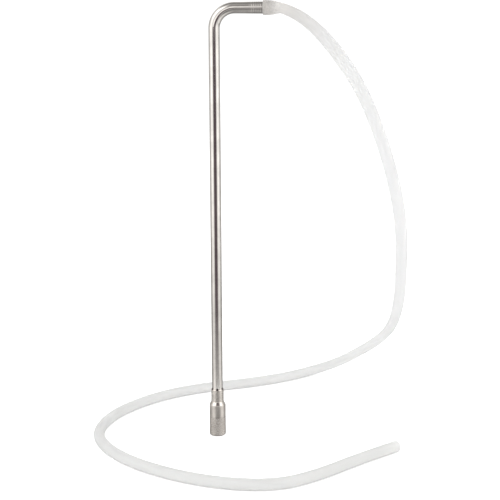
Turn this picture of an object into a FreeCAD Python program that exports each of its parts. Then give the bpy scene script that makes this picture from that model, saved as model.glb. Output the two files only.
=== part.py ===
"""Auto siphon: a bent steel racking cane with a ball valve foot and a silicone hose.

The frame is right-handed with +Z up, in millimetres. The origin is the centre of
the foot's bottom face, on the axis of the upright cane, and the arm points to +X.
"""
import FreeCAD, Part
import Sketcher
import math
import os

V = FreeCAD.Vector

# Driving sizes, in mm. Each is set once here and is read by every piece it concerns.
SIZES = {
    # cane
    "overall_height": 500.0,     # underside of the foot to the top of the arm
    "tube_od": 12.7,
    "tube_wall": 0.8,
    "bend_radius": 22.5,         # of the tube's centre line
    "arm_reach": 66.0,           # cane axis to the arm's open end
    "ridge_pitch": 2.5,
    "ridge_count": 12.0,
    "ridge_height": 0.3,
    "ridge_crest": 0.9,          # flat on top of each ridge
    "ridge_setback": 1.0,        # last ridge to the arm's end
    # valve body
    "socket_depth": 16.0,        # how deep the cane sits in the body
    "neck_wall": 0.95,
    "neck_height": 15.2,
    "rim_lip": 0.4,              # how far the rim stands out from the neck
    "rim_height": 1.2,
    "mouth_chamfer": 0.7,
    "cone_height": 3.9,
    "band_wall": 1.42,           # metal around the thread socket
    "band_height": 14.1,
    "ledge_height": 1.2,         # step that the cane's end stands on
    # cap
    "knurl_rise": 0.1,           # how far the knurl stands out from the band
    "cap_height": 23.0,
    "cap_chamfer": 1.4,
    "cap_floor": 5.0,
    "spigot_wall": 1.1,
    "spigot_length": 9.0,
    "intake_bore": 9.0,
    "slot_width": 3.0,
    "slot_depth": 2.5,
    "thread_clearance": 0.08,    # radial, between spigot and socket
    "seal_gap": 0.05,            # between faces that part when the cap unscrews
    # loose parts of the valve
    "gasket_height": 1.0,
    "gasket_inset": 0.25,        # gasket edge to the socket wall
    "stop_thickness": 1.2,
    "stop_hub": 5.0,
    "stop_rim": 1.1,
    "stop_arm": 1.6,
    "seat_height": 3.0,
    "seat_bore": 7.5,
    "ball_diameter": 11.0,
    "ball_clearance": 1.4,       # radial, for the liquid to pass the ball
    "ball_gap": 0.02,            # ball to the edge of its seat
    # hose
    "hose_wall": 1.6,
    "hose_bore": 9.5,
    "hose_grip": 12.0,           # length of hose pushed over the ridges
    "cuff_wall": 1.25,
    "lip_flare": 0.4,
    "lip_length": 1.5,
    "cuff_tail": 1.0,            # hose beyond the steel before it is free
}

# Sizes that follow from the driving ones, as spreadsheet formulas.
DERIVED = {
    "arm_z": "overall_height - tube_od / 2",
    "tube_radius": "tube_od / 2",
    "tube_bore_radius": "tube_radius - tube_wall",
    "crest_radius": "tube_radius + ridge_height",
    "root_radius": "tube_radius - tube_wall / 2",
    "band_bottom": "cap_height + seal_gap",
    "band_top": "cap_height + band_height",
    "cone_top": "cap_height + band_height + cone_height",
    "body_top": "cap_height + band_height + cone_height + neck_height",
    "rim_bottom": "body_top - rim_height",
    "mouth_bottom": "body_top - mouth_chamfer",
    "cane_foot": "body_top - socket_depth",
    "cane_drop": "arm_z - cane_foot",
    "neck_radius": "tube_radius + neck_wall",
    "rim_radius": "neck_radius + rim_lip",
    "mouth_radius": "tube_radius + mouth_chamfer",
    "ball_radius": "ball_diameter / 2",
    "chamber_radius": "ball_radius + ball_clearance",
    "spigot_radius": "chamber_radius + spigot_wall",
    "socket_radius": "spigot_radius + thread_clearance",
    "band_radius": "socket_radius + band_wall",
    "spigot_top": "cap_height + spigot_length",
    "gasket_bottom": "spigot_top + seal_gap",
    "gasket_top": "gasket_bottom + gasket_height",
    "gasket_radius": "socket_radius - gasket_inset",
    "stop_bottom": "gasket_top + seal_gap",
    "stop_top": "stop_bottom + stop_thickness",
    "stop_hole_inner": "stop_hub / 2",
    "stop_hole_outer": "socket_radius - stop_rim",
    "throat_top": "cane_foot - ledge_height",
    "cap_radius": "band_radius + knurl_rise",
    "cap_chamfer_radius": "cap_radius - cap_chamfer",
    "intake_radius": "intake_bore / 2",
    "slot_half": "slot_width / 2",
    "seat_top": "cap_floor + seat_height",
    "seat_radius": "seat_bore / 2",
    "ball_height": "seat_top + ball_gap + sqrt(ball_radius ^ 2 - seat_radius ^ 2)",
    "ridge_width": "ridge_crest + 2 * ridge_height",
    "ridge_end": "arm_reach - ridge_setback",
    "ridge_crest_end": "ridge_end - ridge_height",
    "ridge_crest_start": "ridge_crest_end - ridge_crest",
    "ridge_start": "ridge_end - ridge_width",
    "ridge_span": "ridge_pitch * (ridge_count - 1)",
    "cuff_start": "arm_reach - hose_grip",
    "cuff_end": "arm_reach + cuff_tail",
    "cuff_radius": "crest_radius + cuff_wall",
    "lip_radius": "cuff_radius + lip_flare",
    "lip_end": "cuff_start + lip_length",
    "hose_bore_radius": "hose_bore / 2",
    "hose_radius": "hose_bore_radius + hose_wall",
    "taper_radius": "hose_radius + lip_flare",
}

ARC_SHARE = 0.45             # share of the shorter run that an arc of the hose takes up
VOLUME_TOLERANCE = 0.005

doc = FreeCAD.newDocument("auto_siphon")
sheet = doc.addObject("Spreadsheet::Sheet", "Sizes")
sheet.Label = "Sizes"


def fill_sheet():
    """Write every driving size and every derived one into the sheet."""
    row = 0
    for alias, value in SIZES.items():
        row += 1
        sheet.set(f"A{row}", alias)
        sheet.set(f"B{row}", str(value))
        sheet.setAlias(f"B{row}", alias)
    for alias, formula in DERIVED.items():
        row += 1
        sheet.set(f"A{row}", alias)
        sheet.set(f"B{row}", "=" + formula)
        sheet.setAlias(f"B{row}", alias)
    doc.recompute()


def size(alias):
    """The number that a cell of the sheet holds; a leading minus gives its negative."""
    if alias == "0":
        return 0.0
    if alias.startswith("-"):
        return -float(sheet.get(alias[1:]))
    return float(sheet.get(alias))


def bound(alias):
    """The expression that ties a property to a cell of the sheet."""
    if alias.startswith("-"):
        return "-<<Sizes>>." + alias[1:]
    return "<<Sizes>>." + alias


def new_body(name):
    body = doc.addObject("PartDesign::Body", name)
    body.Label = name
    return body


def new_sketch(body, name, role):
    """A sketch on one of the body's own origin planes."""
    sketch = body.newObject("Sketcher::SketchObject", name)
    plane = next(item for item in body.Origin.OriginFeatures if item.Role == role)
    sketch.AttachmentSupport = (plane, [""])
    sketch.MapMode = "FlatFace"
    return sketch


def tie(sketch, kind, geometry, point, alias):
    """Hold one coordinate of a sketch point at a size of the sheet."""
    if alias == "0":
        axis = -2 if kind == "DistanceX" else -1
        sketch.addConstraint(Sketcher.Constraint("PointOnObject", geometry, point, axis))
        return
    index = sketch.addConstraint(
        Sketcher.Constraint(kind, -1, 1, geometry, point, size(alias))
    )
    sketch.setExpression(f"Constraints[{index}]", bound(alias))


def outline(sketch, points):
    """A closed polygon whose corners are given as pairs of sizes of the sheet."""
    corners = [V(size(x), size(y), 0) for x, y in points]
    count = len(corners)
    for i in range(count):
        sketch.addGeometry(Part.LineSegment(corners[i], corners[(i + 1) % count]), False)
    for i in range(count):
        sketch.addConstraint(Sketcher.Constraint("Coincident", i, 2, (i + 1) % count, 1))
    for i, (x, y) in enumerate(points):
        tie(sketch, "DistanceX", i, 1, x)
        tie(sketch, "DistanceY", i, 1, y)


def centred_circle(sketch, alias):
    """A circle about the sketch's origin with a radius from the sheet."""
    index = sketch.addGeometry(Part.Circle(V(0, 0, 0), V(0, 0, 1), size(alias)), False)
    sketch.addConstraint(Sketcher.Constraint("Coincident", index, 3, -1, 1))
    radius = sketch.addConstraint(Sketcher.Constraint("Radius", index, size(alias)))
    sketch.setExpression(f"Constraints[{radius}]", bound(alias))


def turned(body, name, points, axis="V_Axis"):
    """A piece turned about one axis of its XZ plane from a half section."""
    sketch = new_sketch(body, name + "Section", "XZ_Plane")
    outline(sketch, points)
    revolution = body.newObject("PartDesign::Revolution", name)
    revolution.Profile = sketch
    revolution.ReferenceAxis = (sketch, [axis])
    revolution.Angle = 360.0
    doc.recompute()
    return revolution


def make_cane_tube():
    """The bent tube, with rolled ridges that grip the hose on the end of its arm."""
    body = new_body("cane_tube")
    path = new_sketch(body, "CanePath", "XZ_Plane")
    radius = size("bend_radius")
    reach = size("arm_reach")
    centre = V(radius, -radius, 0)
    bend = Part.ArcOfCircle(Part.Circle(centre, V(0, 0, 1), radius), math.pi / 2, math.pi)
    path.addGeometry(Part.LineSegment(V(0, -size("cane_drop"), 0), V(0, -radius, 0)), False)
    path.addGeometry(bend, False)
    path.addGeometry(Part.LineSegment(V(radius, 0, 0), V(reach, 0, 0)), False)
    path.addConstraint(Sketcher.Constraint("Tangent", 0, 2, 1, 2))
    path.addConstraint(Sketcher.Constraint("Tangent", 1, 1, 2, 1))
    path.addConstraint(Sketcher.Constraint("PointOnObject", 0, 1, -2))
    path.addConstraint(Sketcher.Constraint("PointOnObject", 0, 2, -2))
    path.addConstraint(Sketcher.Constraint("PointOnObject", 2, 1, -1))
    path.addConstraint(Sketcher.Constraint("PointOnObject", 2, 2, -1))
    bend_size = path.addConstraint(Sketcher.Constraint("Radius", 1, radius))
    path.setExpression(f"Constraints[{bend_size}]", bound("bend_radius"))
    tie(path, "DistanceY", 0, 1, "-cane_drop")
    tie(path, "DistanceX", 2, 2, "arm_reach")

    section = new_sketch(body, "CaneSection", "XY_Plane")
    section.setExpression("AttachmentOffset.Base.z", bound("-cane_drop"))
    centred_circle(section, "tube_radius")
    centred_circle(section, "tube_bore_radius")
    pipe = body.newObject("PartDesign::AdditivePipe", "Tube")
    pipe.Profile = section
    pipe.Spine = (path, ["Edge1", "Edge2", "Edge3"])
    doc.recompute()
    bare_volume = pipe.Shape.Volume

    turned(body, "Ridge", [
        ("ridge_start", "root_radius"),
        ("ridge_end", "root_radius"),
        ("ridge_end", "tube_radius"),
        ("ridge_crest_end", "crest_radius"),
        ("ridge_crest_start", "crest_radius"),
        ("ridge_start", "tube_radius"),
    ], "H_Axis")
    ridges = body.newObject("PartDesign::LinearPattern", "Ridges")
    ridges.Originals = [doc.getObject("Ridge")]
    ridges.Direction = (doc.getObject("RidgeSection"), ["H_Axis"])
    ridges.Reversed = True
    ridges.setExpression("Length", bound("ridge_span"))
    ridges.setExpression("Occurrences", bound("ridge_count"))
    body.Tip = ridges
    body.setExpression("Placement.Base.z", bound("arm_z"))
    doc.recompute()
    assert body.Shape.Volume > bare_volume, "the ridges add nothing to the tube"
    return body


def make_valve_body():
    """The sleeve pressed on the cane's foot: rim, neck, cone, band and thread socket."""
    body = new_body("valve_body")
    turned(body, "Sleeve", [
        ("socket_radius", "band_bottom"),
        ("band_radius", "band_bottom"),
        ("band_radius", "band_top"),
        ("neck_radius", "cone_top"),
        ("neck_radius", "rim_bottom"),
        ("rim_radius", "rim_bottom"),
        ("rim_radius", "body_top"),
        ("mouth_radius", "body_top"),
        ("tube_radius", "mouth_bottom"),
        ("tube_radius", "cane_foot"),
        ("tube_bore_radius", "cane_foot"),
        ("tube_bore_radius", "throat_top"),
        ("chamber_radius", "stop_top"),
        ("socket_radius", "stop_top"),
    ])
    return body


def make_ball_stop():
    """The three-armed disc that keeps the rising ball out of the cane's bore."""
    body = new_body("ball_stop")
    disc_sketch = new_sketch(body, "StopDisc", "XY_Plane")
    centred_circle(disc_sketch, "socket_radius")
    disc = body.newObject("PartDesign::Pad", "Disc")
    disc.Profile = disc_sketch
    disc.setExpression("Length", bound("stop_thickness"))
    doc.recompute()

    inner = size("stop_hole_inner")
    outer = size("stop_hole_outer")
    window_angle = math.radians(360.0 / 3) - size("stop_arm") / inner
    window = new_sketch(body, "StopWindow", "XY_Plane")
    half = window_angle / 2
    origin = V(0, 0, 0)
    for radius in (inner, outer):
        arc = Part.ArcOfCircle(Part.Circle(origin, V(0, 0, 1), radius), -half, half)
        window.addGeometry(arc, False)
    for side in (-half, half):
        start = V(inner * math.cos(side), inner * math.sin(side), 0)
        end = V(outer * math.cos(side), outer * math.sin(side), 0)
        window.addGeometry(Part.LineSegment(start, end), False)
    for line, end in ((2, 1), (3, 2)):
        window.addConstraint(Sketcher.Constraint("Coincident", 0, end, line, 1))
        window.addConstraint(Sketcher.Constraint("Coincident", 1, end, line, 2))
        window.addConstraint(Sketcher.Constraint("PointOnObject", -1, 1, line))
    for arc, alias in ((0, "stop_hole_inner"), (1, "stop_hole_outer")):
        window.addConstraint(Sketcher.Constraint("Coincident", arc, 3, -1, 1))
        radius = window.addConstraint(Sketcher.Constraint("Radius", arc, size(alias)))
        window.setExpression(f"Constraints[{radius}]", bound(alias))
    window.addConstraint(Sketcher.Constraint("Symmetric", 0, 1, 0, 2, -1))
    width = window.addConstraint(Sketcher.Constraint("Angle", 2, 1, 3, 1, window_angle))
    angle_text = "(120 - 180 / pi * <<Sizes>>.stop_arm / <<Sizes>>.stop_hole_inner) * 1deg"
    window.setExpression(f"Constraints[{width}]", angle_text)
    pocket = body.newObject("PartDesign::Pocket", "Window")
    pocket.Profile = window
    pocket.Type = "ThroughAll"
    pocket.Reversed = True
    doc.recompute()
    windows = body.newObject("PartDesign::PolarPattern", "Windows")
    windows.Originals = [pocket]
    windows.Axis = (disc_sketch, ["N_Axis"])
    windows.Angle = 360.0
    windows.Occurrences = 3
    body.Tip = windows
    body.setExpression("Placement.Base.z", bound("stop_bottom"))
    doc.recompute()
    open_share = 3 * window_angle / 2 * (outer ** 2 - inner ** 2)
    full = math.pi * size("socket_radius") ** 2
    expected = (full - open_share) * size("stop_thickness")
    assert abs(body.Shape.Volume / expected - 1) < VOLUME_TOLERANCE, "ball stop windows"
    return body


def make_valve_cap():
    """The screw-on end of the foot, with the intake hole and a slot across its bottom."""
    body = new_body("valve_cap")
    cup = turned(body, "Cup", [
        ("intake_radius", "0"),
        ("cap_chamfer_radius", "0"),
        ("cap_radius", "cap_chamfer"),
        ("cap_radius", "cap_height"),
        ("spigot_radius", "cap_height"),
        ("spigot_radius", "spigot_top"),
        ("chamber_radius", "spigot_top"),
        ("chamber_radius", "cap_floor"),
        ("intake_radius", "cap_floor"),
    ])
    before = cup.Shape.Volume
    slot_sketch = new_sketch(body, "SlotSection", "YZ_Plane")
    outline(slot_sketch, [
        ("-slot_half", "-slot_depth"),
        ("slot_half", "-slot_depth"),
        ("slot_half", "slot_depth"),
        ("-slot_half", "slot_depth"),
    ])
    slot = body.newObject("PartDesign::Pocket", "IntakeSlot")
    slot.Profile = slot_sketch
    slot.Midplane = True
    slot.setExpression("Length", "4 * <<Sizes>>.cap_radius")
    doc.recompute()
    assert slot.Shape.Volume < before, "the intake slot cuts nothing"
    return body


def make_ball_seat():
    """The soft ring in the cap that the ball closes."""
    body = new_body("ball_seat")
    turned(body, "Ring", [
        ("seat_radius", "cap_floor"),
        ("chamber_radius", "cap_floor"),
        ("chamber_radius", "seat_top"),
        ("seat_radius", "seat_top"),
    ])
    return body


def make_cap_gasket():
    """The flat washer between the cap's spigot and the ball stop."""
    body = new_body("cap_gasket")
    turned(body, "Washer", [
        ("chamber_radius", "gasket_bottom"),
        ("gasket_radius", "gasket_bottom"),
        ("gasket_radius", "gasket_top"),
        ("chamber_radius", "gasket_top"),
    ])
    return body


def make_check_ball():
    """The steel ball, resting on the edge of its seat."""
    ball = doc.addObject("Part::Sphere", "check_ball")
    ball.Label = "check_ball"
    ball.setExpression("Radius", bound("ball_radius"))
    ball.setExpression("Placement.Base.z", bound("ball_height"))
    doc.recompute()
    return ball


def make_hose_cuff():
    """The end of the hose, stretched over the ridges of the arm."""
    body = new_body("hose_cuff")
    turned(body, "Cuff", [
        ("cuff_start", "crest_radius"),
        ("cuff_start", "lip_radius"),
        ("lip_end", "cuff_radius"),
        ("arm_reach", "cuff_radius"),
        ("cuff_end", "taper_radius"),
        ("cuff_end", "hose_bore_radius"),
        ("arm_reach", "hose_bore_radius"),
        ("arm_reach", "crest_radius"),
    ], "H_Axis")
    body.setExpression("Placement.Base.z", bound("arm_z"))
    doc.recompute()
    return body


def hose_route():
    """Corners of the hose's route: off the arm, down, behind the cane and round it."""
    top = size("arm_z")
    start = size("cuff_end")
    low = size("hose_radius")
    return [
        V(start, 0, top),
        V(start + 11, 0, top),
        V(start + 22, -1, top - 2.5),
        V(start + 32, -3, top - 7),
        V(start + 41, -6, top - 14),
        V(start + 56, -15, top - 31),
        V(start + 75, -31, top - 56),
        V(164, -46, 401),
        V(182, -49, 350),
        V(200, -28, 297),
        V(213, 8, 245),
        V(220, 56, 190),
        V(225, 110, 134),
        V(224, 164, 90),
        V(213, 204, 62),
        V(191, 236, 37),
        V(160, 250, 16),
        V(124, 243, low),
        V(88, 214, low),
        V(33, 182, low),
        V(-34, 160, low),
        V(-89, 118, low),
        V(-130, 56, low),
        V(-143, -14, low),
        V(-120, -77, low),
        V(-70, -132, low),
        V(-2, -168, low),
        V(64, -177, low),
        V(111, -147, low),
        V(156, -102, low),
        V(204, -61, low),
    ]


def rounded_path(corners):
    """Straight runs joined by tangent arcs, and the radius of each arc."""
    edges = []
    radii = []
    here = corners[0]
    for before, corner, after in zip(corners, corners[1:], corners[2:]):
        back = before - corner
        ahead = after - corner
        cut = ARC_SHARE * min(back.Length, ahead.Length)
        half_turn = (math.pi - back.getAngle(ahead)) / 2
        radius = cut / math.tan(half_turn)
        back.normalize()
        ahead.normalize()
        arc_start = corner + back * cut
        arc_end = corner + ahead * cut
        inward = back + ahead
        inward.normalize()
        middle = corner + inward * (radius / math.cos(half_turn) - radius)
        edges.append(Part.LineSegment(here, arc_start).toShape())
        edges.append(Part.Arc(arc_start, middle, arc_end).toShape())
        radii.append(radius)
        here = arc_end
    edges.append(Part.LineSegment(here, corners[-1]).toShape())
    return Part.Wire(edges), radii


def make_hose():
    """The free silicone hose, a hollow tube from the cuff to its open end."""
    path, radii = rounded_path(hose_route())
    start = path.Edges[0].valueAt(0)
    along = path.Edges[0].tangentAt(0)
    outer = Part.Wire(Part.Circle(start, along, size("hose_radius")).toShape())
    inner = Part.Wire(Part.Circle(start, along, size("hose_bore_radius")).toShape())
    inner.reverse()
    section = Part.Face([outer, inner])
    hose = doc.addObject("Part::Feature", "hose")
    hose.Label = "hose"
    hose.Shape = path.makePipe(section)
    hose.Placement = FreeCAD.Placement()
    expected = section.Area * path.Length
    print("hose length", round(path.Length, 1), "mm; arc radii", [round(r) for r in radii])
    assert abs(hose.Shape.Volume / expected - 1) < VOLUME_TOLERANCE, "hose volume"
    return hose


def check(part):
    """Stop on a failed feature or an unusable shape."""
    for item in doc.Objects:
        assert not {"Invalid", "Error"} & set(item.State), f"{item.Label}: {item.State}"
    shape = part.Shape
    assert not shape.isNull() and shape.isValid(), f"{part.Label} has no valid shape"
    assert shape.Volume > 0, f"{part.Label} has no volume"


fill_sheet()
PARTS = [
    make_cane_tube(),
    make_valve_body(),
    make_ball_stop(),
    make_valve_cap(),
    make_ball_seat(),
    make_cap_gasket(),
    make_check_ball(),
    make_hose_cuff(),
    make_hose(),
]
doc.recompute()
for part in PARTS:
    check(part)
os.makedirs("parts", exist_ok=True)
for part in PARTS:
    part.Shape.exportStep(f"parts/{part.Label}.step")
    print(part.Label, "volume", round(part.Shape.Volume, 1))
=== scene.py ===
"""Auto siphon: a steel cane with a ball-valve foot and a free silicone hose."""
import math

import bmesh
import bpy
from mathutils import Matrix, Vector


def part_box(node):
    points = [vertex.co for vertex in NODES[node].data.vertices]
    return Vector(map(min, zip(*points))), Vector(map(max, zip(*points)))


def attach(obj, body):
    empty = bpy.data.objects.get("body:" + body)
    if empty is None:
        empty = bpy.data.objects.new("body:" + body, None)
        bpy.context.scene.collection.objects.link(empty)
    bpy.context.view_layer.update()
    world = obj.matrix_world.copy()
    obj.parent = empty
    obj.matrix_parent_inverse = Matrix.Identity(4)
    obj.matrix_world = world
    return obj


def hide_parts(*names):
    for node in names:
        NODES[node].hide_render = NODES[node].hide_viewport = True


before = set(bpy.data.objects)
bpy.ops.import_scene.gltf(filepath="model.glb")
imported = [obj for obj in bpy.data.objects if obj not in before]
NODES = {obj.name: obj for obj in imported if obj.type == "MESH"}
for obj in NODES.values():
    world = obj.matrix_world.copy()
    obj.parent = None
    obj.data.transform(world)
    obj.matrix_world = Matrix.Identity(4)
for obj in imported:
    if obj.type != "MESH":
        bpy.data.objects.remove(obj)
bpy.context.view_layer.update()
MM = 0.001


# ---------------------------------------------------------------- places from the frame

cane_low, cane_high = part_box("cane_tube")
sleeve_low, sleeve_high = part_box("valve_body")
cuff_low, cuff_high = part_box("hose_cuff")

TUBE_R = 6.35 * MM
BORE_R = 5.55 * MM
BEND_R = 22.5 * MM
RIDGE_R = TUBE_R + 0.3 * MM
RIDGE_PITCH = 2.5 * MM
RIDGE_COUNT = 12
RIDGE_SETBACK = 1.0 * MM
HEIGHT = 0.5    # to the top of the plain tube; the ridges and the hose stand over it
ARM_X = cane_high.x
ARM_Z = HEIGHT - TUBE_R
LAST_RIDGE_X = ARM_X - RIDGE_SETBACK
FIRST_RIDGE_X = LAST_RIDGE_X - (RIDGE_COUNT - 1) * RIDGE_PITCH
FOOT_Z = cane_low.z
CUFF_X = cuff_low.x
BAND_BOTTOM = sleeve_low.z
BODY_TOP = sleeve_high.z
MOUTH_LOW = 54.6 * MM    # the staking dents of the sleeve start here


# ---------------------------------------------------------------- camera

def new_object(name, data):
    thing = bpy.data.objects.new(name, data)
    bpy.context.scene.collection.objects.link(thing)
    return thing


CAMERA_PLACE = (0.0389, -1.2992, 0.4606)
CAMERA_LENS = 82.8    # millimetres, on a sensor 36 wide
CAMERA_DIP = math.radians(10.445)
CAMERA_ROLL = math.radians(-0.23)


def make_camera():
    data = bpy.data.cameras.new("camera")
    data.sensor_width = 36
    data.lens = CAMERA_LENS
    camera = new_object("camera", data)
    camera.location = CAMERA_PLACE
    camera.rotation_mode = "XYZ"
    look = Vector((0, math.cos(CAMERA_DIP), -math.sin(CAMERA_DIP)))
    turn = look.to_track_quat("-Z", "Y").to_matrix()
    camera.rotation_euler = (turn @ Matrix.Rotation(CAMERA_ROLL, 3, "Z")).to_euler()
    bpy.context.scene.camera = camera


make_camera()


# ---------------------------------------------------------------- mesh helpers

def soften(mesh, angle):
    """Smooth shading, with edges sharper than the angle kept sharp."""
    bm = bmesh.new()
    bm.from_mesh(mesh)
    for face in bm.faces:
        face.smooth = True
    limit = math.radians(angle)
    for edge in bm.edges:
        if len(edge.link_faces) == 2 and edge.calc_face_angle(0) > limit:
            edge.smooth = False
    bm.to_mesh(mesh)
    bm.free()


def grid_mesh(name, rings, uvs):
    """A closed skin over rings of equal counts of points; the last ring joins the first."""
    bm = bmesh.new()
    layer = bm.loops.layers.uv.new("metric")
    made = [[bm.verts.new(p) for p in ring] for ring in rings]
    count = len(rings[0])
    for i, a in enumerate(made):
        b = made[(i + 1) % len(made)]
        for j in range(count):
            k = (j + 1) % count
            face = bm.faces.new([a[j], a[k], b[k], b[j]])
            for loop in face.loops:
                ring_at = i if loop.vert in (a[j], a[k]) else i + 1
                side = j if loop.vert in (a[j], b[j]) else j + 1
                loop[layer].uv = uvs(ring_at, side, count)
    mesh = bpy.data.meshes.new(name)
    bm.to_mesh(mesh)
    bm.free()
    return mesh


def circle(centre, across, up, radius, count):
    return [
        centre + (across * math.cos(t) + up * math.sin(t)) * radius
        for t in (2 * math.pi * j / count for j in range(count))
    ]


def lathe(name, profile, count, shape):
    """profile is a closed list of (radius, z); shape(r, z, angle) may move the radius."""
    rings = []
    for r, z in profile:
        ring = []
        for j in range(count):
            t = 2 * math.pi * j / count
            moved = shape(r, z, t)
            ring.append(Vector((moved * math.cos(t), moved * math.sin(t), z)))
        rings.append(ring)
    length = [0.0]
    for (r0, z0), (r1, z1) in zip(profile, profile[1:] + profile[:1]):
        length.append(length[-1] + math.hypot(r1 - r0, z1 - z0))
    girth = 2 * math.pi * max(r for r, z in profile)
    return grid_mesh(name, rings, lambda i, j, n: (girth * j / n, length[i]))


def outward(mesh):
    """Faces point out of the solid."""
    bm = bmesh.new()
    bm.from_mesh(mesh)
    bmesh.ops.recalc_face_normals(bm, faces=bm.faces[:])
    if bm.calc_volume(signed=True) < 0:
        bmesh.ops.reverse_faces(bm, faces=bm.faces[:])
    bm.to_mesh(mesh)
    bm.free()


def rounded(points, sizes, steps):
    """A closed (r, z) outline with small arcs in place of the corners that sizes lists."""
    out = []
    for i, p in enumerate(points):
        here = Vector(p)
        a = Vector(points[i - 1]) - here
        b = Vector(points[(i + 1) % len(points)]) - here
        size = min(sizes.get(i, 0), a.length * 0.4, b.length * 0.4)
        if size <= 0:
            out.append(tuple(here))
            continue
        start = here + a.normalized() * size
        end = here + b.normalized() * size
        for t in (k / steps for k in range(steps + 1)):
            out.append(tuple(start * (1 - t) ** 2 + here * 2 * t * (1 - t) + end * t * t))
    return out


def step(a, b, t):
    t = min(max((t - a) / (b - a), 0), 1)
    return t * t * (3 - 2 * t)


# ---------------------------------------------------------------- material helpers

class Tree:
    """Short names for building a node tree."""

    def __init__(self, tree):
        self.tree = tree
        tree.nodes.clear()
        self.coords = self.add("ShaderNodeTexCoord")

    def add(self, kind, **settings):
        node = self.tree.nodes.new(kind)
        for key, value in settings.items():
            setattr(node, key, value)
        return node

    def link(self, a, b):
        self.tree.links.new(a, b)

    def feed(self, socket, value):
        """Sets a number or a colour on the socket, or links an output to it."""
        if isinstance(value, (int, float)):
            socket.default_value = value
        elif isinstance(value, tuple):
            socket.default_value = (*value, 1)
        else:
            self.link(value, socket)

    def split(self, source):
        node = self.add("ShaderNodeSeparateXYZ")
        self.link(source, node.inputs[0])
        return node.outputs

    def maths(self, how, *values):
        node = self.add("ShaderNodeMath", operation=how)
        for socket, value in zip(node.inputs, values):
            self.feed(socket, value)
        return node.outputs[0]

    def spread(self, value, low, high, first=0.0, last=1.0, how="LINEAR"):
        """Turns low..high into first..last."""
        node = self.add("ShaderNodeMapRange", interpolation_type=how)
        self.link(value, node.inputs["Value"])
        node.inputs["From Min"].default_value = low
        node.inputs["From Max"].default_value = high
        node.inputs["To Min"].default_value = first
        node.inputs["To Max"].default_value = last
        return node.outputs[0]

    def ramp(self, value, stops, low=0.0, high=1.0):
        """Colours by a value that runs from low to high."""
        if (low, high) != (0.0, 1.0):
            value = self.spread(value, low, high)
        node = self.add("ShaderNodeValToRGB")
        table = node.color_ramp
        while len(table.elements) > 1:
            table.elements.remove(table.elements[-1])
        for i, (place, colour) in enumerate(stops):
            at = (place - low) / (high - low)
            if i:
                table.elements.new(at).color = (*colour, 1)
            else:
                table.elements[0].position = at
                table.elements[0].color = (*colour, 1)
        self.link(value, node.inputs[0])
        return node.outputs[0]

    def grey(self, value, stops, low=0.0, high=1.0):
        return self.ramp(value, [(p, (g, g, g)) for p, g in stops], low, high)

    def mix(self, how, amount, a, b):
        node = self.add("ShaderNodeMix", data_type="RGBA", blend_type=how)
        for slot, value in ((0, amount), (6, a), (7, b)):
            self.feed(node.inputs[slot], value)
        return node.outputs[2]


class Nodes(Tree):
    """A material's tree around one Principled shader."""

    def __init__(self, name):
        self.material = bpy.data.materials.new(name)
        self.material.use_nodes = True
        super().__init__(self.material.node_tree)
        self.output = self.add("ShaderNodeOutputMaterial")
        self.shader = self.add("ShaderNodeBsdfPrincipled")
        self.link(self.shader.outputs[0], self.output.inputs["Surface"])

    def put(self, socket, value):
        """A value that is the same all over, set on the shader's own socket."""
        self.shader.inputs[socket].default_value = value

    def drive(self, socket, value):
        self.link(value, self.shader.inputs[socket])

    def driven(self, socket):
        """What the shader's socket is linked to now."""
        return self.shader.inputs[socket].links[0].from_socket

    def scaled(self, scale, source="Object"):
        mapping = self.add("ShaderNodeMapping")
        mapping.inputs["Scale"].default_value = scale
        self.link(self.coords.outputs[source], mapping.inputs["Vector"])
        return mapping.outputs[0]

    def noise(self, vector, detail, rough):
        node = self.add("ShaderNodeTexNoise")
        node.inputs["Scale"].default_value = 1.0
        node.inputs["Detail"].default_value = detail
        node.inputs["Roughness"].default_value = rough
        self.link(vector, node.inputs["Vector"])
        return node.outputs["Fac"]

    def grain(self, scale, detail, rough):
        """Noise in space, scale cells to the metre."""
        return self.noise(self.scaled((scale, scale, scale)), detail, rough)

    def bump(self, height, strength, distance):
        node = self.add("ShaderNodeBump")
        node.inputs["Strength"].default_value = strength
        node.inputs["Distance"].default_value = distance
        self.link(height, node.inputs["Height"])
        self.drive("Normal", node.outputs[0])


def steel(name, colour, rough, grain, lines, bump, distance, pits, source="UV"):
    """Metal with drawn or turned lines along the first texture axis, fine grain and pits."""
    m = Nodes(name)
    m.put("Metallic", 1.0)
    fine = m.noise(m.scaled(lines, source), 4.0, 0.6)
    cloud = m.grain(90, 3.0, 0.5)
    speck = m.grain(grain, 2.0, 0.6)
    dull = tuple(c * 0.86 for c in colour)
    tone = m.mix("MIX", m.grey(cloud, [(0.35, 0.0), (0.65, 1.0)]), dull, colour)
    tone = m.mix("MULTIPLY", 1.0, tone, m.grey(fine, [(0.3, 0.90), (0.6, 1.0)]))
    tone = m.mix("MULTIPLY", 1.0, tone, m.grey(speck, [(0.26, 1 - pits), (0.34, 1.0)]))
    m.drive("Base Color", tone)
    m.drive("Roughness", m.maths("MULTIPLY_ADD", fine, 0.10, rough - 0.05))
    m.bump(m.maths("ADD", fine, m.maths("MULTIPLY", speck, 0.5)), bump, distance)
    return m


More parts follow.
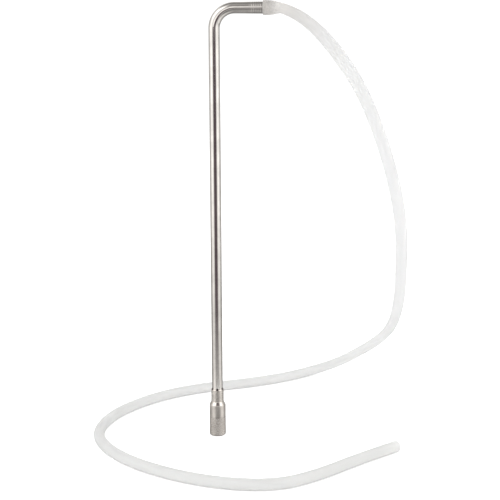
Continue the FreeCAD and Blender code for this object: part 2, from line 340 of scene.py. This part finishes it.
polished = steel(
    "polished_steel", (0.80, 0.775, 0.745), 0.085, 2600, (1500, 60, 1), 0.05, 0.00004, 0.35
)
turned = steel(
    "turned_steel", (0.69, 0.655, 0.615), 0.29, 3200, (60, 5200, 1), 0.12, 0.00004, 0.2
)
knurled = steel(
    "knurled_steel", (0.62, 0.585, 0.55), 0.27, 3600, (900, 900, 1), 0.10, 0.00004, 0.25
)
ball_metal = steel(
    "ball_steel", (0.78, 0.78, 0.78), 0.10, 4200, (700, 700, 700), 0.04, 0.00003, 0.2,
    "Object",
)
stop_metal = steel(
    "stop_steel", (0.66, 0.65, 0.63), 0.30, 3600, (2200, 160, 160), 0.12, 0.00004, 0.2,
    "Object",
)


def burnish(m, low, high, cone, neck):
    """The cone, and a little the neck, are smoother than the rest of the sleeve."""
    height = m.split(m.coords.outputs["Object"])["Z"]
    band = m.grey(m.spread(height, low, high), [
        (0.0, 1.0), (0.02, cone), (0.20, cone), (0.235, neck), (1.0, neck),
    ])
    m.drive("Roughness", m.maths("MULTIPLY", m.driven("Roughness"), band))


def shade_ridged_end(m, start, end, level):
    """Painted shade: the base colour darkens along the arm towards the ridged end and the hose's
    lip.
    """
    along = m.split(m.coords.outputs["Object"])["X"]
    tone = m.spread(along, start, end, 1.0, level)
    m.drive("Base Color", m.mix("MULTIPLY", 1.0, m.driven("Base Color"), tone))


def paint_dent_shade(m, low, high):
    """Painted shade and painted dark reflection in the six staking dents around the sleeve's
    mouth, from low to high.
    """
    fade = 0.7 * MM
    x, y, z = m.split(m.coords.outputs["Object"])
    turn = m.maths("ARCTAN2", x, m.maths("MULTIPLY", y, -1))
    across = m.maths("COSINE", m.maths("MULTIPLY", turn, 6))
    amount = m.maths(
        "MULTIPLY",
        m.spread(across, 0.30, 0.62, how="SMOOTHSTEP"),
        m.spread(z, low, low + fade, how="SMOOTHSTEP"),
    )
    amount = m.maths("MULTIPLY", amount, m.spread(z, high + fade, high, how="SMOOTHSTEP"))
    # painted shade and dark reflection: a near-black mixed into the base colour in the dents
    m.drive("Base Color", m.mix("MIX", amount, m.driven("Base Color"), (0.07, 0.05, 0.06)))


burnish(turned, 36.9 * MM, 57.0 * MM, 0.35, 0.95)
# painted shade along the ridged end of the arm
shade_ridged_end(polished, 34.0 * MM, 58.0 * MM, 0.78)
# painted shade and dark reflection in the mouth's dents, on the sleeve and on the tube just above
# it
paint_dent_shade(turned, MOUTH_LOW, BODY_TOP + 1.0 * MM)
paint_dent_shade(polished, BODY_TOP - 1.0 * MM, BODY_TOP + 0.9 * MM)


def seal_material():
    m = Nodes("seal_rubber")
    grit = m.grain(6000, 2.0, 0.6)
    tone = m.ramp(m.grain(500, 3.0, 0.6), [(0.3, (0.68, 0.67, 0.63)), (0.7, (0.75, 0.74, 0.70))])
    bloom = m.grey(grit, [(0.55, 0.0), (0.75, 0.35)])
    m.drive("Base Color", m.mix("MIX", bloom, tone, (0.82, 0.81, 0.78)))
    m.drive("Roughness", m.grey(grit, [(0.3, 0.55), (0.7, 0.75)]))
    m.bump(grit, 0.25, 0.00006)
    return m


rubber = seal_material()


def silicone_material():
    """Milky translucent silicone: a little light passes, the skin is matt with a soft gloss."""
    m = Nodes("silicone")
    cloud = m.grain(38, 3.0, 0.5)
    dust = m.grain(2600, 2.0, 0.65)
    mottle = m.grain(900, 2.0, 0.6)
    flow = m.noise(m.scaled((420, 9, 1), "UV"), 3.0, 0.55)
    along = m.split(m.coords.outputs["UV"])["Y"]
    # by metres along the hose: darker bands where it is stretched over the steel and where it
    # leaves the arm, painted backlight that makes it lighter in the air, and a little darker on
    # the floor
    tone = m.ramp(along, [
        (0.0, (0.52, 0.495, 0.47)), (0.0014, (0.56, 0.535, 0.51)),
        (0.0024, (0.80, 0.77, 0.74)), (0.0044, (0.80, 0.77, 0.74)),
        (0.0060, (0.60, 0.575, 0.55)), (0.0104, (0.56, 0.535, 0.51)),
        (0.0116, (0.80, 0.77, 0.74)), (0.025, (0.76, 0.735, 0.71)),
        (0.036, (0.70, 0.685, 0.665)), (0.08, (0.78, 0.775, 0.77)),
        (0.12, (0.86, 0.86, 0.85)), (0.20, (0.88, 0.88, 0.875)),
        (0.28, (0.905, 0.905, 0.90)), (0.52, (0.90, 0.90, 0.895)),
        (0.66, (0.865, 0.865, 0.855)), (0.84, (0.81, 0.81, 0.80)),
        (1.58, (0.785, 0.785, 0.77)),
    ], 0.0, 2.0)
    tone = m.mix("MULTIPLY", 1.0, tone, m.grey(cloud, [(0.3, 0.97), (0.7, 1.0)]))
    tone = m.mix("MULTIPLY", 1.0, tone, m.grey(dust, [(0.25, 0.93), (0.4, 1.0)]))
    cuffed = m.grey(along, [(0.0, 1.0), (0.017, 0.8), (0.026, 0.0)], 0.0, 2.0)
    tone = m.mix("MULTIPLY", cuffed, tone, m.grey(mottle, [(0.40, 0.78), (0.60, 1.12)]))
    m.drive("Base Color", tone)
    m.drive("Roughness", m.grey(flow, [(0.3, 0.34), (0.7, 0.46)]))
    m.put("IOR", 1.41)
    m.put("Transmission Weight", 0.30)
    m.put("Subsurface Weight", 0.55)
    m.put("Subsurface Radius", (1.0, 0.97, 0.92))
    m.put("Subsurface Scale", 0.004)
    m.bump(m.maths("ADD", flow, m.maths("MULTIPLY", dust, 0.4)), 0.10, 0.00008)
    return m


silicone = silicone_material()


# ---------------------------------------------------------------- the hose

# Control points, in metres. The hose leaves over the ridges of the arm.
TOP = ARM_Z
LOW = TUBE_R
ROUTE = [
    (0.054, 0, TOP),
    (0.064, 0, TOP),
    (0.074, 0, TOP - 0.0002),
    (0.083, -0.001, TOP - 0.0034),
    (0.0968, -0.004, TOP - 0.0104),
    (0.1113, -0.009, TOP - 0.0219),
    (0.1239, -0.0175, TOP - 0.0353),
    (0.1378, -0.0285, TOP - 0.0531),
    (0.1509, -0.0385, TOP - 0.0731),
    (0.1645, -0.046, 0.3965),
    (0.1835, -0.049, 0.3495),
    (0.2008, -0.028, 0.297),
    (0.2136, 0.008, 0.245),
    (0.2207, 0.056, 0.190),
    (0.2262, 0.110, 0.134),
    (0.2252, 0.164, 0.0893),
    (0.2137, 0.204, 0.0608),
    (0.1915, 0.236, 0.0358),
    (0.160, 0.249, 0.015),
    (0.1245, 0.241, LOW),
    (0.0885, 0.2105, LOW),
    (0.0335, 0.182, LOW),
    (-0.034, 0.160, LOW),
    (-0.089, 0.118, LOW),
    (-0.130, 0.056, LOW),
    (-0.143, -0.0135, LOW),
    (-0.120, -0.0745, LOW),
    (-0.070, -0.129, LOW),
    (-0.002, -0.168, LOW),
    (0.064, -0.177, LOW),
    (0.111, -0.147, LOW),
    (0.156, -0.102, LOW),
    (0.204, -0.061, LOW),
]
HOSE_R = 6.35 * MM
HOSE_BORE_R = 4.75 * MM
# outer radius, and how far the soft hose is squeezed, by millimetres along it
OUTER_MM = [
    (0, 7.9), (1.2, 8.15), (3.0, 8.25), (7.4, 8.0), (12.0, 7.6), (16.4, 6.75), (21, 6.35),
]
SQUEEZE = [
    (0, 1.0), (12, 1.0), (16.4, 0.97), (21, 0.91), (25, 0.92), (30, 0.935), (36, 0.965),
    (43, 1.0), (60, 1.04), (80, 1.13), (100, 1.18), (135, 1.18), (165, 1.15), (200, 1.12),
    (260, 1.10), (480, 1.10), (600, 1.03), (700, 1.0),
]


def spline_line(points, name):
    """Evenly walked points of the route's own NURBS line."""
    curve = bpy.data.curves.new(name, "CURVE")
    curve.dimensions = "3D"
    curve.resolution_u = 24
    spline = curve.splines.new("NURBS")
    spline.points.add(len(points) - 1)
    for point, place in zip(spline.points, points):
        point.co = (*place, 1)
    spline.order_u = 3
    spline.use_endpoint_u = True
    carrier = new_object(name, curve)
    bpy.context.view_layer.update()
    line = bpy.data.meshes.new_from_object(carrier)
    found = [v.co.copy() for v in line.vertices]
    bpy.data.objects.remove(carrier)
    bpy.data.curves.remove(curve)
    bpy.data.meshes.remove(line)
    return found


def lengths(line):
    total = [0.0]
    for a, b in zip(line, line[1:]):
        total.append(total[-1] + (b - a).length)
    return total


def walk(line, places):
    """Points on a polyline at the given distances along it."""
    marks = lengths(line)
    out = []
    k = 0
    for s in places:
        while k < len(line) - 2 and marks[k + 1] < s:
            k += 1
        t = (s - marks[k]) / max(marks[k + 1] - marks[k], 1e-12)
        out.append(line[k].lerp(line[k + 1], min(max(t, 0), 1)))
    return out


def frames(line):
    """A side and an up direction at each point, turned as little as possible."""
    up = Vector((0, 0, 1))
    out = []
    for i in range(len(line)):
        ahead = line[min(i + 1, len(line) - 1)] - line[max(i - 1, 0)]
        ahead.normalize()
        side = up.cross(ahead).normalized()
        up = ahead.cross(side).normalized()
        out.append((side, up))
    return out


def along_table(table, s):
    """A value that runs smoothly through the table's (place, value) pairs."""
    for (a, va), (b, vb) in zip(table, table[1:]):
        if s <= b:
            return va + (vb - va) * step(a, b, s)
    return table[-1][1]


def make_hose():
    line = spline_line(ROUTE, "hose_line")
    total = lengths(line)[-1]
    fine, coarse = 0.35 * MM, 3 * MM
    places = [fine * i for i in range(70)]
    while places[-1] < total - coarse:
        places.append(places[-1] + coarse)
    places += [total - 0.8 * MM, total - 0.3 * MM, total]
    path = walk(line, places)
    turns = frames(path)
    count = 48
    first_ridge = FIRST_RIDGE_X - CUFF_X

    def outer(s):
        r = along_table(OUTER_MM, s / MM) * MM
        if s < 0.5 * MM:
            r -= 0.35 * MM * (1 - s / (0.5 * MM)) ** 2
        # the arm's ridges show through the stretched end
        on_steel = (1 - step(9.5 * MM, 13 * MM, s)) * step(4 * MM, 6 * MM, s)
        wave = math.cos(2 * math.pi * (s - first_ridge) / RIDGE_PITCH)
        r += 0.04 * MM * on_steel * wave
        left = total - s
        if left < 0.8 * MM:
            r -= 0.3 * MM * (1 - left / (0.8 * MM)) ** 2
        return r

    def inner(s):
        return RIDGE_R + (HOSE_BORE_R - RIDGE_R) * step(12.0 * MM, 19 * MM, s)

    rings = []
    marks = []
    stations = list(zip(places, path, turns))
    for radius, walked in ((outer, stations), (inner, stations[::-1])):
        for s, p, (side, up) in walked:
            squeeze = along_table(SQUEEZE, s / MM)
            rings.append(circle(p, side / squeeze ** 0.7, up * squeeze, radius(s), count))
            marks.append(s if radius is outer else marks[-1] + coarse)    # for the texture
    marks.append(marks[-1] + 2 * MM)
    girth = 2 * math.pi * HOSE_R
    mesh = grid_mesh("silicone_hose", rings, lambda i, j, n: (girth * j / n, marks[i]))
    outward(mesh)
    soften(mesh, 50)
    hose = new_object("silicone_hose", mesh)
    mesh.materials.append(silicone.material)
    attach(hose, "cane")
    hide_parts("hose", "hose_cuff")


make_hose()


# ---------------------------------------------------------------- the cane

def make_cane():
    """The bent tube with its rounded hose ridges, inside and outside."""
    quarter = math.pi / 2
    straight = ARM_Z - BEND_R - FOOT_Z
    stations = []    # centre, turn, distance along, radius
    z = 0.0
    while z < straight:
        stations.append((Vector((0, 0, FOOT_Z + z)), 0.0, z, TUBE_R))
        z += 6 * MM
    parts = 48
    for k in range(parts + 1):
        a = quarter * k / parts
        x = BEND_R * (1 - math.cos(a))
        z = ARM_Z - BEND_R * (1 - math.sin(a))
        stations.append((Vector((x, 0, z)), a, straight + BEND_R * a, TUBE_R))
    bend_end = straight + BEND_R * quarter - BEND_R
    x = BEND_R + 1.0 * MM
    first = FIRST_RIDGE_X - 2.0 * MM
    while x < ARM_X - 0.05 * MM:
        r = TUBE_R + 0.28 * MM * step(first - 9 * MM, first + 16 * MM, x)
        if x > first:
            # rounded crests, parted by narrow rolled valleys
            part = ((LAST_RIDGE_X - x) / RIDGE_PITCH) % 1.0
            valley = 1 - step(0.0, 0.20, abs(part - 0.5))
            r -= 0.13 * MM * valley * step(first, first + 6 * MM, x)
            r -= 0.25 * MM * step(LAST_RIDGE_X, ARM_X, x)
        stations.append((Vector((x, 0, ARM_Z)), quarter, bend_end + x, r))
        x += 0.16 * MM if x > first - 1 * MM else 1.5 * MM
    for back, r in ((0.25 * MM, TUBE_R), (0.0, TUBE_R - 0.22 * MM)):
        stations.append((Vector((ARM_X - back, 0, ARM_Z)), quarter, bend_end + ARM_X, r))
    bore_shift = 0.1    # keeps the bore's texture apart from the skin's
    bore = [(c, a, s + bore_shift, BORE_R) for c, a, s, r in stations[::-1]]
    rings = []
    marks = []
    for c, a, s, r in stations + bore:
        up = Vector((math.cos(a), 0, -math.sin(a)))
        rings.append(circle(c, up, Vector((0, 1, 0)), r, 96))
        marks.append(s)
    marks.append(marks[-1] + 1 * MM)
    girth = 2 * math.pi * TUBE_R
    mesh = grid_mesh("cane_skin", rings, lambda i, j, n: (girth * j / n, marks[i]))
    outward(mesh)
    soften(mesh, 40)
    mesh.materials.append(polished.material)
    cane = new_object("cane_skin", mesh)
    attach(cane, "cane")
    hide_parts("cane_tube")


make_cane()


# ---------------------------------------------------------------- the foot

def make_sleeve():
    outline = [
        (8.08 * MM, BAND_BOTTOM),
        (9.5 * MM, BAND_BOTTOM),
        (9.5 * MM, 37.1 * MM),
        (7.3 * MM, 41.0 * MM),
        (7.3 * MM, 54.3 * MM),
        (7.45 * MM, 54.75 * MM),
        (6.95 * MM, BODY_TOP - 0.35 * MM),
        (6.72 * MM, BODY_TOP),
        (6.37 * MM, BODY_TOP - 0.75 * MM),
        (6.37 * MM, FOOT_Z),
        (5.55 * MM, FOOT_Z),
        (5.55 * MM, 39.0 * MM),
        (6.9 * MM, 34.32 * MM),
        (8.08 * MM, 34.32 * MM),
    ]
    arcs = [size * MM for size in (0.1, 0.35, 0.45, 0.5, 0.2, 0.15, 0.1, 0.1)]

    def shape(r, z, t):
        """Six staking dents around the mouth, one facing the front."""
        if z < MOUTH_LOW or r < 6.5 * MM:
            return r
        across = max(0.0, (math.cos(6 * (t + math.pi / 2)) - 0.35) / 0.65)
        return r - 0.6 * MM * min(1.0, across * 2.2) * step(MOUTH_LOW, MOUTH_LOW + 0.9 * MM, z)

    mesh = lathe("foot_sleeve", rounded(outline, dict(enumerate(arcs)), 4), 288, shape)
    outward(mesh)
    soften(mesh, 32)
    mesh.materials.append(turned.material)
    sleeve = new_object("foot_sleeve", mesh)
    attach(sleeve, "cane")
    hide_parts("valve_body")


make_sleeve()


CAP_TOP = 23.0 * MM
KNURL_R = 9.6 * MM
KNURL_TEETH = 32
KNURL_PITCH = 2.0 * MM
KNURL_DEPTH = 0.26 * MM
SPIGOT_R = 8.0 * MM
THREAD_TOP = 31.7 * MM
THREAD_PITCH = 1.5 * MM
THREAD_DEPTH = 0.55 * MM


def cap_profile():
    """The cap's closed outline, with close stations where the knurl and the thread are."""
    low = [(4.5, 0.25), (4.75, 0.0), (8.0, 0.0), (8.2, 0.04), (9.35, 1.15), (9.5, 1.4)]
    profile = [(r * MM, z * MM) for r, z in low]
    z = 1.7 * MM
    while z < CAP_TOP - 0.75 * MM:
        profile.append((KNURL_R, z))
        z += 0.14 * MM
    for r, below in ((9.5, 0.55), (9.48, 0.2), (9.3, 0), (8.0, 0)):
        profile.append((r * MM, CAP_TOP - below * MM))
    z = CAP_TOP + 0.15 * MM
    while z < THREAD_TOP:
        profile.append((SPIGOT_R, z))
        z += 0.15 * MM
    inside = [(7.9, 31.85), (7.75, 32.0), (7.05, 32.0), (6.9, 31.85), (6.9, 5.0), (4.5, 5.0)]
    return profile + [(r * MM, z * MM) for r, z in inside]


def cap_shape(r, z, t):
    """Diamonds cut in the side, a thread on the spigot."""
    if abs(r - KNURL_R) < 1e-6:
        u = t * KNURL_TEETH / (2 * math.pi)
        v = z / KNURL_PITCH
        a = abs(((u + v) % 1.0) - 0.5) * 2
        b = abs(((u - v) % 1.0) - 0.5) * 2
        edge = step(1.5 * MM, 2.1 * MM, z)
        edge *= 1 - step(CAP_TOP - 1.3 * MM, CAP_TOP - 0.75 * MM, z)
        return KNURL_R - KNURL_DEPTH * (1 - min(a, b)) * edge - 0.1 * MM * (1 - edge)
    if abs(r - SPIGOT_R) < 1e-6 and z > CAP_TOP + 0.1 * MM:
        turn = (z / THREAD_PITCH - t / (2 * math.pi)) % 1.0
        depth = step(0.05, 0.45, turn) * (1 - step(0.55, 0.95, turn))
        ends = step(CAP_TOP + 0.2 * MM, CAP_TOP + 1.0 * MM, z)
        ends *= 1 - step(30.9 * MM, THREAD_TOP, z)
        return SPIGOT_R - THREAD_DEPTH * depth * ends
    return r


def box_mesh(name, low, high):
    bm = bmesh.new()
    (x0, y0, z0), (x1, y1, z1) = low, high
    around = ((x0, y0), (x1, y0), (x1, y1), (x0, y1))
    lower = [bm.verts.new((x, y, z0)) for x, y in around]
    upper = [bm.verts.new((x, y, z1)) for x, y in around]
    bm.faces.new(lower[::-1])
    bm.faces.new(upper)
    for i in range(4):
        j = (i + 1) % 4
        bm.faces.new([lower[i], lower[j], upper[j], upper[i]])
    mesh = bpy.data.meshes.new(name)
    bm.to_mesh(mesh)
    bm.free()
    return mesh


def make_cap():
    """The knurled cap, with the slot cut across its intake hole."""
    mesh = lathe("foot_cap_knurled", cap_profile(), KNURL_TEETH * 12, cap_shape)
    outward(mesh)
    cap = new_object("foot_cap_knurled", mesh)
    slot = box_mesh("slot_cutter", (-12 * MM, -1.5 * MM, -1 * MM), (12 * MM, 1.5 * MM, 2.5 * MM))
    knife = new_object("slot_cutter", slot)
    cut = cap.modifiers.new("slot", "BOOLEAN")
    cut.operation = "DIFFERENCE"
    cut.solver = "EXACT"
    cut.object = knife
    bpy.context.view_layer.update()
    view = cap.evaluated_get(bpy.context.evaluated_depsgraph_get())
    result = bpy.data.meshes.new_from_object(view)
    cap.modifiers.clear()
    cap.data = result
    bpy.data.objects.remove(knife)
    result.materials.clear()
    soften(result, 30)
    result.materials.append(knurled.material)
    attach(cap, "cap")
    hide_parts("valve_cap")


make_cap()


def dress(node, material):
    """A CAD piece that is kept as it is, with a material of its own."""
    mesh = NODES[node].data
    mesh.materials.clear()
    mesh.materials.append(material.material)


dress("ball_stop", stop_metal)
dress("ball_seat", rubber)
dress("cap_gasket", rubber)
dress("check_ball", ball_metal)


# ---------------------------------------------------------------- floor and light

def make_floor():
    bm = bmesh.new()
    size = 12.0
    around = ((-size, -size), (size, -size), (size, size), (-size, size))
    bm.faces.new([bm.verts.new((x, y, 0)) for x, y in around])
    mesh = bpy.data.meshes.new("floor")
    bm.to_mesh(mesh)
    bm.free()
    floor = new_object("floor", mesh)
    m = Nodes("floor")
    m.drive("Base Color", m.grey(m.grain(3, 2.0, 0.5), [(0.3, 0.93), (0.7, 0.95)]))
    m.put("Roughness", 0.9)
    m.put("Emission Color", (1, 1, 1, 1))
    m.put("Emission Strength", 0.30)
    m.put("Specular IOR Level", 0.0)
    mesh.materials.append(m.material)
    floor.visible_glossy = False


make_floor()


def grey(level):
    """A grey that is a touch warm, as the studio's panels are."""
    return (level * 0.51, level * 0.5, level * 0.49)


def panel(level):
    return tuple(c / 0.66 for c in grey(level))


DARK = (0.050, 0.039, 0.043)
GLOW = 2.55     # strength of what steel reflects
PLAIN = 1.13    # strength of the white that lights the scene and the camera sees
# what steel sees around it: brightness by degrees from the front, either way
SIDE = [
    (0, panel(0.09)), (12, panel(0.14)), (22, panel(0.28)), (34, panel(0.76)),
    (48, panel(1.02)), (64, panel(1.22)), (75, panel(1.12)), (92, panel(0.78)),
    (108, panel(0.50)), (125, panel(0.42)), (180, panel(0.46)),
]
# and how that changes by degrees above the horizon
LEVEL = [
    (-90, 0.32), (-40, 0.42), (-22, 0.56), (-18.5, 0.57), (-17.6, 0.60), (-16.8, 0.40),
    (-13, 0.44), (-8, 0.60), (-3, 0.66), (20, 0.66), (34, 1.0), (48, 1.0), (56, 0.5),
    (66, 0.26), (90, 0.22),
]
# the strip straight ahead, by degrees above the horizon
FRONT = [
    (-90, grey(0.34)), (-58, grey(0.34)), (-46, grey(0.24)), (-37, grey(0.19)),
    (-28, grey(0.24)), (-20, grey(0.47)), (-17.8, grey(0.47)), (-16.6, grey(0.38)),
    (-13.5, DARK), (1.0, DARK), (2.8, grey(1.28)), (7, grey(1.05)), (17, grey(0.68)),
    (34, grey(0.48)), (37.5, DARK), (43.5, DARK), (46, grey(0.36)), (90, grey(0.26)),
]
# the strip leans to the right low down and high up
LEAN = [(-90, 1), (-18, 1), (-15.5, 0), (30, 0), (36, 1)]
LEAN_DEGREES = 9.0


def make_world():
    """White all round for the camera and soft light; steel sees a studio of stripes."""
    world = bpy.data.worlds.new("studio")
    bpy.context.scene.world = world
    world.use_nodes = True
    w = Tree(world.node_tree)
    x, y, z = w.split(w.coords.outputs["Generated"])
    across = w.maths("SQRT", w.maths("ADD", w.maths("MULTIPLY", x, x), w.maths("MULTIPLY", y, y)))
    degrees = math.degrees(1)
    rise = w.maths("ARCTAN2", z, w.maths("MAXIMUM", across, 0.001))
    rise = w.maths("MULTIPLY", rise, degrees)
    turn = w.maths("ARCTAN2", x, w.maths("MULTIPLY", y, -1.0))
    turn = w.maths("MULTIPLY", turn, degrees)
    lean = w.maths("MULTIPLY", w.grey(rise, LEAN, -90, 90), LEAN_DEGREES)
    turn = w.maths("ABSOLUTE", w.maths("SUBTRACT", turn, lean))
    around = w.mix("MULTIPLY", 1.0, w.ramp(turn, SIDE, 0, 180), w.grey(rise, LEVEL, -90, 90))
    ahead = w.grey(turn, [(0, 1), (22, 1), (34, 0)], 0, 180)
    mirror = w.mix("MIX", ahead, around, w.ramp(rise, FRONT, -90, 90))
    glow = w.add("ShaderNodeBackground")
    w.link(mirror, glow.inputs["Color"])
    glow.inputs["Strength"].default_value = GLOW
    plain = w.add("ShaderNodeBackground")
    plain.inputs["Color"].default_value = (1, 1, 1, 1)
    plain.inputs["Strength"].default_value = PLAIN
    path = w.add("ShaderNodeLightPath")
    direct = w.maths("SUBTRACT", 1.0, path.outputs["Is Transmission Ray"])
    choose = w.add("ShaderNodeMixShader")
    w.link(w.maths("MULTIPLY", path.outputs["Is Glossy Ray"], direct), choose.inputs[0])
    w.link(plain.outputs[0], choose.inputs[1])
    w.link(glow.outputs[0], choose.inputs[2])
    out = w.add("ShaderNodeOutputWorld")
    w.link(choose.outputs[0], out.inputs["Surface"])


make_world()


LAMP_AIM = Vector((0.05, 0.05, 0.2))    # about the middle of the object


def softbox(name, place, size, power):
    data = bpy.data.lights.new(name, "AREA")
    data.shape = "SQUARE"
    data.size = size
    data.energy = power
    lamp = new_object(name, data)
    lamp.location = place
    aim = LAMP_AIM - Vector(place)
    lamp.rotation_euler = aim.to_track_quat("-Z", "Y").to_euler()
    lamp.visible_glossy = False


softbox("key", (-1.4, -1.2, 2.0), 1.6, 14)
softbox("fill", (1.8, -0.6, 1.4), 1.6, 7)

bpy.context.scene.view_settings.view_transform = "Standard"
